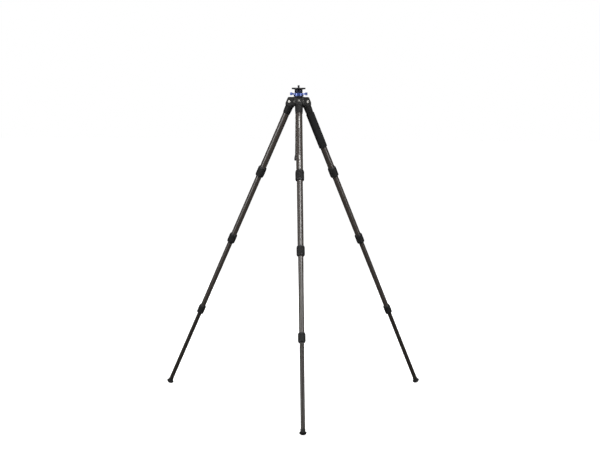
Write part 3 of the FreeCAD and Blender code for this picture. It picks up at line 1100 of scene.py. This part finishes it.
@dataclass
class RubberFeet:
    """The three moulded feet, with a beaded collar and a grooved, domed sole."""

    sides: int = 72
    dome_radius: float = 19.0 * MM
    rim_length: float = 4.0 * MM
    rim_bevel: float = 0.8 * MM
    flare_length: float = 5.0 * MM
    flare_steps: int = 8
    flare_gap: float = 1.0 * MM
    collar_wall: float = 1.4 * MM
    collar_bevel: float = 0.5 * MM
    tube_gap: float = 0.2 * MM
    bead: float = 0.4 * MM
    bead_high: float = 2.0 * MM
    bead_low: float = 3.0 * MM
    sole_edge: float = 0.9 * MM
    sole_corner: tuple[float, float] = (0.35 * MM, 0.1 * MM)
    sole_steps: int = 14
    groove_steps: tuple[int, ...] = (3, 7, 11)
    groove_depth: float = 0.6 * MM
    tip: float = 0.4

    def outline(self, span: Span, tube: Span) -> Outline:
        """The foot's section, from the collar's mouth out and down to the tip.

        Args:
            span: The foot's room.
            tube: The room of the tube that it is pushed on.

        Returns:
            The section's points.
        """
        rim, top = span.outer, span.high
        centre = span.low + self.dome_radius
        rim_low = centre - math.sqrt(self.dome_radius**2 - rim**2)
        rim_high = rim_low + self.rim_length
        flare_high = rim_high + self.flare_length
        collar = tube.outer + self.collar_wall
        waist = collar - self.bead
        points: Outline = [
            (tube.outer, tube.low + self.tube_gap), (tube.outer, top), (collar - self.collar_bevel, top),
            (collar, top - self.collar_bevel), (collar, top - self.bead_high),
            (waist, top - self.bead_high - self.bead), (waist, top - self.bead_low),
            (collar, top - self.bead_low - self.bead), (collar, flare_high + self.flare_gap),
        ]
        flare = rim - self.rim_bevel - collar
        for step in range(self.flare_steps + 1):
            angle = math.radians(90 * step / self.flare_steps)
            points.append((
                collar + flare * (1 - math.cos(angle)), flare_high - self.flare_length * math.sin(angle)))
        points += [
            (rim, rim_high - self.rim_bevel), (rim, rim_low + self.sole_edge),
            (rim - self.sole_corner[0], rim_low + self.sole_corner[1]),
        ]
        edge = math.asin((rim - self.sole_edge) / self.dome_radius)
        for step in range(1, self.sole_steps + 1):
            angle = edge * (1 - step / (self.sole_steps + self.tip))
            reach = self.dome_radius - (self.groove_depth if step in self.groove_steps else 0.0)
            points.append((reach * math.sin(angle), centre - reach * math.cos(angle)))
        return points

    def build(self, legs: Sequence[LegSpace], finish: Material) -> None:
        """Models one foot in leg space and carries it to the three legs.

        Args:
            legs: The three legs.
            finish: The feet's finish.
        """
        outline = self.outline(legs[0].span("foot"), legs[0].span("tube_4"))
        pattern = Bench.turn("foot_pattern", outline, self.sides, Ends.SOLID)
        Bench.smooth(pattern, 40.0)
        for leg in legs:
            piece = Bench.carried(pattern, leg.node("rubber_foot"), leg.matrix)
            fit_on(piece, leg.node("foot"), leg.node("section_4"), finish)
        Bench.scrap(pattern)


@dataclass
class FoamGrip:
    """The foam sleeve on one leg, a little uneven from being handled."""

    node: str = "foam_grip"
    sides: int = 96
    rings: int = 72
    end_round: float = 1.6 * MM
    swell: float = 0.18 * MM
    short_wave: float = 0.55
    long_wave: float = 0.23
    firmness: float = 0.9

    def outline(self, span: Span) -> Outline:
        """The sleeve's section, its skin waved by a fraction of a millimetre.

        Args:
            span: The sleeve's room.

        Returns:
            The section's points.
        """
        outer = span.outer - self.swell
        corner = outer - self.end_round
        high, low = span.high - self.end_round, span.low + self.end_round
        points = [(span.inner, span.high)] + arc((corner, high), self.end_round, 90, 0, 5)
        for k in range(1, self.rings):
            wave = 0.6 * math.sin(k * self.short_wave) + 0.4 * math.sin(k * self.long_wave + 1.0)
            swell = self.swell * (1 + wave) / 2 * math.sin(math.pi * k / self.rings)
            points.append((outer + swell, high - (high - low) * k / self.rings))
        return points + arc((corner, low), self.end_round, 0, -90, 5) + [(span.inner, span.low)]

    def build(self, leg: LegSpace, finish: Material) -> None:
        """Turns the sleeve in leg space and fits it.

        Args:
            leg: The leg that carries it.
            finish: Its finish.
        """
        outline = self.outline(span_of(self.node, leg.inverse))
        pattern = Bench.turn("foam_pattern", outline, self.sides, Ends.HOLLOW)
        Bench.smooth(pattern, 60.0)
        piece = Bench.carried(pattern, "foam_sleeve", leg.matrix)
        Bench.scrap(pattern)
        fit_on(piece, self.node, leg.node("leg"), finish)


@dataclass
class LegCastings:
    """The castings that join the top tubes to the hinges, and their angle tabs."""

    casting: RoundedCopy = RoundedCopy("leg_casting", "shoulder_casting", "leg", "casting", 0.9 * MM)
    tab: RoundedCopy = RoundedCopy("angle_tab", "finger_tab", "tab", "silver", 0.45 * MM)

    def build(self, legs: Sequence[LegSpace], paint: Material, metal: Material) -> None:
        """Fits the castings and tabs of all legs.

        Args:
            legs: The three legs.
            paint: The castings' finish.
            metal: The tabs' finish.
        """
        for leg in legs:
            self.casting.build(paint, leg.node(""))
            self.tab.build(metal, leg.node(""))


# --- The head ------------------------------------------------------------------------------------


@dataclass
class Apex:
    """The spider with its lugs, the bolts that the legs turn on, and the ring that clamps the column."""

    spider: RoundedCopy = RoundedCopy("apex_casting", "spider", "apex", "casting", 0.8 * MM)
    bolts: RoundedCopy = RoundedCopy("pivot_bolts", "bolt_caps", "apex", "silver", 0.35 * MM, welded=False)
    ring: RoundedCopy = RoundedCopy(
        "column_lock_ring", "winged_ring", "column_ring", "anodised_blue", 0.7 * MM)

    def build(self, paint: Material, silver: Material, blue: Material) -> None:
        """Fits the three pieces.

        Args:
            paint: The spider's finish.
            silver: The bolts' finish.
            blue: The ring's finish.
        """
        self.spider.build(paint)
        self.bolts.build(silver)
        self.ring.build(blue)


@dataclass
class HeadPlate:
    """The collar on the column's top, the round plate and the head screw."""

    sides: int = 128
    foot_bevel: float = 0.9 * MM
    groove_low: float = 3.0 * MM
    groove_high: float = 5.0 * MM
    groove_depth: float = 0.5 * MM
    rim_inset: float = 0.7 * MM
    rim_drop: float = 1.2 * MM
    collar_edge: float = 0.25 * MM
    plate: RoundedCopy = RoundedCopy(
        "top_plate", "head_plate", "column", "plate_black", 0.35 * MM, False, True, 35.0)
    core_sides: int = 48
    core_bevel: float = 0.9 * MM
    root_radius: float = 3.9 * MM
    thread_pitch: float = 25.4 / 16 * MM
    thread_depth: float = 0.4 * MM
    thread_bite: float = 0.1 * MM
    thread_start: float = 0.75
    thread_half_width: float = 0.45
    thread_steps: int = 40
    plain_length: float = 2.2 * MM

    def collar(self, finish: Material) -> None:
        """Turns the neck, with a plug in the tube and one groove round it.

        Args:
            finish: Its finish.
        """
        span, tube = span_of("column_collar"), span_of("column_tube")
        outer, low, high = span.outer, span.low, span.high
        waist = outer - self.groove_depth
        outline: Outline = [
            (tube.outer, low), (outer - self.foot_bevel, low), (outer, low + self.foot_bevel),
            (outer, low + self.groove_low), (waist, low + self.groove_low + self.groove_depth),
            (waist, low + self.groove_high - self.groove_depth), (outer, low + self.groove_high),
            (outer, high - self.rim_drop), (outer - self.rim_inset, high), (span.inner, high),
            (span.inner, low), (tube.inner, low), (tube.inner, tube.high), (tube.outer, tube.high),
        ]
        piece = Bench.turn("neck_collar", outline, self.sides, Ends.HOLLOW)
        Bench.soften(piece, self.collar_edge, 2, 30.0)
        Bench.wrap(piece)
        Bench.smooth(piece)
        fit_on(piece, "column_collar", "column", finish)

    def thread(self, span: Span) -> Object:
        """Winds the thread: a triangle with its point at the screw's full radius, turned up the core.

        Args:
            span: The screw's room.

        Returns:
            The thread.
        """
        size = (self.thread_depth + self.thread_bite) / 1.5
        start = (span.outer - size, 0.0, self.thread_start * self.thread_pitch)
        stretch = self.thread_half_width * self.thread_pitch / size
        Bench.clear()
        bpy.ops.mesh.primitive_circle_add(
            vertices=3, radius=size, location=start, rotation=(math.pi / 2, math.pi / 2, 0))
        thread = bpy.context.active_object
        Bench.settle(thread)
        bpy.ops.object.mode_set(mode="EDIT")
        bpy.ops.mesh.select_all(action="SELECT")
        bpy.ops.transform.resize(value=(1, 1, stretch), center_override=start)
        bpy.ops.object.mode_set(mode="OBJECT")
        bpy.ops.object.modifier_add(type="SCREW")
        winding = thread.modifiers[-1]
        winding.axis = "Z"
        winding.screw_offset = self.thread_pitch
        winding.iterations = int((span.high - self.plain_length) / self.thread_pitch)
        winding.steps = winding.render_steps = self.thread_steps
        winding.use_merge_vertices = False
        bpy.ops.object.modifier_apply(modifier=winding.name)
        bpy.ops.object.mode_set(mode="EDIT")
        bpy.ops.mesh.select_all(action="SELECT")
        bpy.ops.mesh.fill_holes(sides=4)
        Bench.mend(thread)
        Bench.wrap(thread)
        return thread

    def screw(self, finish: Material) -> None:
        """Cuts the head screw: a core with a chamfered end, and a wound thread.

        Args:
            finish: Its finish.
        """
        span = span_of("head_stud")
        core_radius = span.outer - self.thread_depth
        outline: Outline = [
            (self.root_radius, span.low), (self.root_radius, 0.0), (core_radius, 0.0),
            (core_radius, span.high - self.core_bevel), (core_radius - self.core_bevel, span.high),
        ]
        core = Bench.turn("screw_core", outline, self.core_sides, Ends.SOLID)
        piece = Bench.joined([core, self.thread(span)], "head_screw")
        Bench.smooth(piece)
        fit_on(piece, "head_stud", "column", finish)


@dataclass
class Column:
    """The centre column's tube, its end cap and the loop for a weight."""

    sides: int = 72
    cap: RoundedCopy = RoundedCopy(
        "column_end_cap", "end_cap", "column", "plastic_black", 0.5 * MM, False, True)
    loop: RoundedCopy = RoundedCopy("weight_hook", "weight_loop", "hook", "hook_steel", welded=False)

    def tube(self) -> None:
        """Turns the column's tube and wraps it in carbon."""
        span = span_of("column_tube")
        low, high = span.low, span.high
        outline = [(span.inner, low), (span.outer, low), (span.outer, high), (span.inner, high)]
        piece = Bench.turn("carbon_column", outline, self.sides, Ends.HOLLOW)
        Bench.smooth(piece)
        carbon = CarbonTwill("carbon_column", span.outer).material()
        fit_on(piece, "column_tube", "column", carbon)


# --- The studio ----------------------------------------------------------------------------------


@dataclass(frozen=True)
class Softbox:
    """A soft area light aimed at a point."""

    name: str
    place: tuple[float, float, float]
    size: tuple[float, float]
    watts: float

    def hang(self, aim: Vector) -> None:
        """Hangs the light.

        Args:
            aim: The point that it faces.
        """
        light = bpy.data.lights.new(self.name, "AREA")
        light.shape = "RECTANGLE"
        light.size, light.size_y = self.size
        light.energy = self.watts
        lamp = bpy.data.objects.new(self.name, light)
        lamp.location = Vector(self.place)
        lamp.rotation_euler = (aim - lamp.location).to_track_quat("-Z", "Y").to_euler()
        bpy.context.scene.collection.objects.link(lamp)


@dataclass
class Studio:
    """A plain pale floor, soft lights and the camera. Angles are in degrees."""

    distance: float = 6.351
    height_over_plate: float = 0.0172
    bearing: float = 2.46
    side_step: float = 0.0109
    pitch: float = 5.72
    roll: float = 0.43
    lens: float = 84.56
    view_limit: float = 200.0
    floor_size: float = 60.0
    dim_world: float = 0.10
    overhead: float = 0.9
    overhead_spread: float = 50.0
    boxes: tuple[Softbox, ...] = (
        Softbox("bank", (0.5, -2.4, 1.7), (1.6, 1.0), 62.0),
        Softbox("key", (-3.6, -2.6, 0.3), (1.6, 3.2), 120.0),
        Softbox("fill", (3.4, -2.8, 0.3), (1.2, 3.2), 84.0),
        Softbox("rear", (-0.6, 3.8, 0.6), (2.2, 2.2), 46.0),
    )

    def camera(self) -> None:
        """Sets the camera in front of the tripod, just over its plate and looking slightly down."""
        turn = Matrix.Rotation(math.radians(-self.bearing), 4, "Z")
        spot = turn @ Vector((self.side_step, -self.distance, self.height_over_plate))
        aim = Matrix.Rotation(math.radians(90.0 - self.pitch), 4, "X")
        lean = Matrix.Rotation(math.radians(self.roll), 4, "Z")
        data = bpy.data.cameras.new("camera")
        data.lens = self.lens
        data.clip_end = self.view_limit
        camera = bpy.data.objects.new("camera", data)
        camera.matrix_world = Matrix.Translation(spot) @ turn @ aim @ lean
        bpy.context.scene.collection.objects.link(camera)
        bpy.context.scene.camera = camera

    def floor(self, level: float) -> None:
        """Lays the floor.

        Args:
            level: Its height, under the feet.
        """
        Bench.clear()
        bpy.ops.mesh.primitive_plane_add(size=self.floor_size, location=(0, 0, level))
        plane = bpy.context.active_object
        plane.name = "floor"
        Bench.settle(plane)
        plane.data.materials.append(StudioFloor().material())
        plane.visible_glossy = False
        plane.visible_diffuse = False
        plane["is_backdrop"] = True

    def surroundings(self) -> None:
        """A white world that the camera sees in full and that lights the tripod only dimly."""
        world = bpy.data.worlds.new("studio")
        world.use_nodes = True
        tree = world.node_tree
        tree.nodes.clear()
        ray = tree.nodes.new("ShaderNodeLightPath")
        mix = tree.nodes.new("ShaderNodeMixShader")
        out = tree.nodes.new("ShaderNodeOutputWorld")
        tree.links.new(ray.outputs["Is Camera Ray"], mix.inputs[0])
        for slot, strength in ((1, self.dim_world), (2, 1.0)):
            light = tree.nodes.new("ShaderNodeBackground")
            light.inputs["Color"].default_value = (1.0, 1.0, 1.0, 1.0)
            light.inputs["Strength"].default_value = strength
            tree.links.new(light.outputs[0], mix.inputs[slot])
        tree.links.new(mix.outputs[0], out.inputs[0])
        bpy.context.scene.world = world
        bpy.context.scene.view_settings.view_transform = "Standard"

    def build(self, level: float) -> None:
        """Builds the studio round the tripod.

        Args:
            level: The floor's height.
        """
        self.camera()
        self.floor(level)
        self.surroundings()
        for box in self.boxes:
            box.hang(Vector((0.0, 0.0, level / 2)))
        sky = bpy.data.lights.new("overhead", "SUN")
        sky.energy = self.overhead
        sky.angle = math.radians(self.overhead_spread)
        bpy.context.scene.collection.objects.link(bpy.data.objects.new("overhead", sky))


@dataclass(frozen=True)
class Palette:
    """The finishes that are shared or given to one kind of piece."""

    paint: Finish = CastPaint("cast_paint")
    silver: Finish = MachinedSteel("satin_silver", (0.33, 0.32, 0.30), (0.55, 0.54, 0.51), 0.45, 0.7)
    tab: Finish = MachinedSteel("dull_steel", (0.20, 0.195, 0.18), (0.44, 0.43, 0.40), 0.5, 0.7)
    black_steel: Finish = MachinedSteel(
        "blackened_steel", (0.007, 0.007, 0.008), (0.022, 0.022, 0.024), 0.42, 0.3)
    ring: Finish = DyedCasting("blue_ring", (0.012, 0.030, 0.155), (0.08, 0.145, 0.48), 0.36, 0.6)
    lock: Finish = Anodised("lock_alloy", (0.010, 0.010, 0.011), (0.030, 0.030, 0.032), 0.38, 0.5)
    collar: Finish = Anodised("navy_collar", (0.002, 0.003, 0.012), (0.005, 0.008, 0.034), 0.42, 0.35)
    plate: Finish = Anodised("black_plate", (0.005, 0.005, 0.006), (0.016, 0.016, 0.018), 0.46, 0.2)
    grip: Finish = MouldedRubber("lock_rubber")
    foot: Finish = MouldedRubber("foot_rubber", (0.010, 0.010, 0.010), (0.028, 0.027, 0.026))
    foam: Finish = FoamSkin("foam_skin")
    cap: Finish = Nylon("black_nylon", (0.010, 0.010, 0.011), (0.022, 0.022, 0.023))
    shim: Finish = Nylon("pale_nylon", (0.42, 0.42, 0.40), (0.62, 0.62, 0.59))
    collet: Finish = Nylon("collet_nylon", (0.012, 0.012, 0.013), (0.03, 0.03, 0.03))


def corners() -> list[list[float]]:
    """The shown object's box as plain numbers."""
    low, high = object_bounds()
    return [list(low), list(high)]


def main() -> None:
    """Builds every piece in order."""
    logging.basicConfig(level=logging.INFO, format="%(name)s: %(message)s")
    cad_box = corners()
    legs = [LegSpace(name) for name in LegName]
    palette = Palette()
    paint, silver = palette.paint.material(), palette.silver.material()
    black_steel, shim = palette.black_steel.material(), palette.shim.material()
    Studio().build(cad_box[0][2])
    CarbonTubes().build(legs)
    TwistLocks().build(legs, palette.lock.material(), palette.grip.material())
    RubberFeet().build(legs, palette.foot.material())
    FoamGrip().build(legs[1], palette.foam.material())
    LegCastings().build(legs, paint, palette.tab.material())
    Apex().build(paint, silver, palette.ring.material())
    head, column = HeadPlate(), Column()
    head.collar(palette.collar.material())
    head.plate.build(palette.plate.material())
    head.screw(black_steel)
    column.tube()
    column.cap.build(palette.cap.material())
    column.loop.build(silver)
    for leg in legs:
        for number in range(1, 4):
            repaint(leg.node(f"shims_{number}"), shim)
    repaint("column_collet", palette.collet.material())
    repaint("plate_screws", black_steel)


if __name__ == "__main__":
    main()
